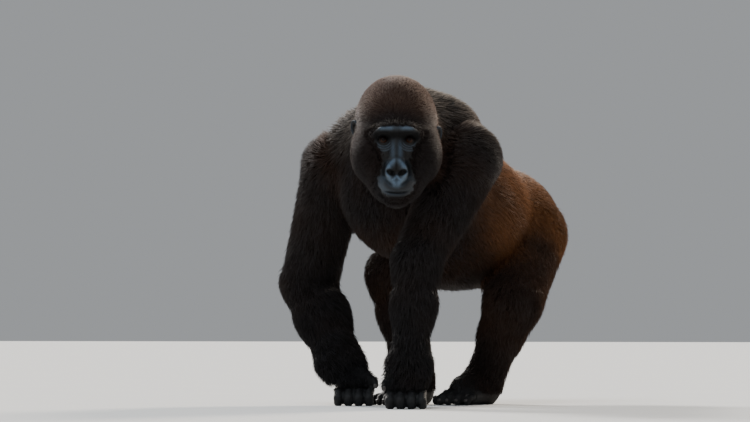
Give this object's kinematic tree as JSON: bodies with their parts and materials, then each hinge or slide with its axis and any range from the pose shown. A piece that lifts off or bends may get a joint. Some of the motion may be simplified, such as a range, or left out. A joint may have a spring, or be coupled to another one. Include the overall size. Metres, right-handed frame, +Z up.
{
  "type": "gorilla",
  "caption": "Life-size still model of an adult gorilla walking on its knuckles, head turned to its left, with separate limbs, hands, feet, ears, eyes and nails.",
  "frame": {"origin": "on the ground, below the middle of the box round the animal", "axes": "+Z up, -Y the way the gorilla walks, +X its left side"},
  "size_m": [0.744, 1.1718, 0.8897],
  "materials": {
    "coat": "dense blackish-brown fur, matt with a faint cool sheen",
    "coat_back": "dense brown fur, warmer and paler on the back and rump",
    "crown": "short dense reddish-brown fur on the crown, thinning to bare skin on the face",
    "skin": "bare dark grey skin, creased, satin",
    "nail": "dark horn nail, satin",
    "eye": "wet dark brown eyeball"
  },
  "bodies": {
    "root": {"head": "crown", "eye_left": "eye", "eye_right": "eye", "ear_left": "skin", "ear_right": "skin", "neck": "coat_back", "chest": "coat", "belly": "coat", "rump": "coat_back", "upper_arm_right": "coat", "upper_arm_left": "coat", "forearm_right": "coat", "forearm_left": "coat", "thigh_right": "coat_back", "thigh_left": "coat_back", "shank_right": "coat_back", "shank_left": "coat_back", "hand_right": "skin", "finger_right_2": "skin", "finger_right_3": "skin", "finger_right_4": "skin", "finger_right_5": "skin", "thumb_right": "skin", "nail_thumb_right": "nail", "hand_left": "skin", "finger_left_2": "skin", "finger_left_3": "skin", "finger_left_4": "skin", "finger_left_5": "skin", "thumb_left": "skin", "nail_thumb_left": "nail", "foot_right": "skin", "toe_right_2": "skin", "nail_toe_right_2": "nail", "toe_right_3": "skin", "nail_toe_right_3": "nail", "toe_right_4": "skin", "nail_toe_right_4": "nail", "toe_right_5": "skin", "nail_toe_right_5": "nail", "toe_right_1": "skin", "nail_toe_right_1": "nail", "foot_left": "skin", "toe_left_2": "skin", "nail_toe_left_2": "nail", "toe_left_3": "skin", "nail_toe_left_3": "nail", "toe_left_4": "skin", "nail_toe_left_4": "nail", "toe_left_5": "skin", "nail_toe_left_5": "nail", "toe_left_1": "skin", "nail_toe_left_1": "nail"}
  },
  "joints": []
}
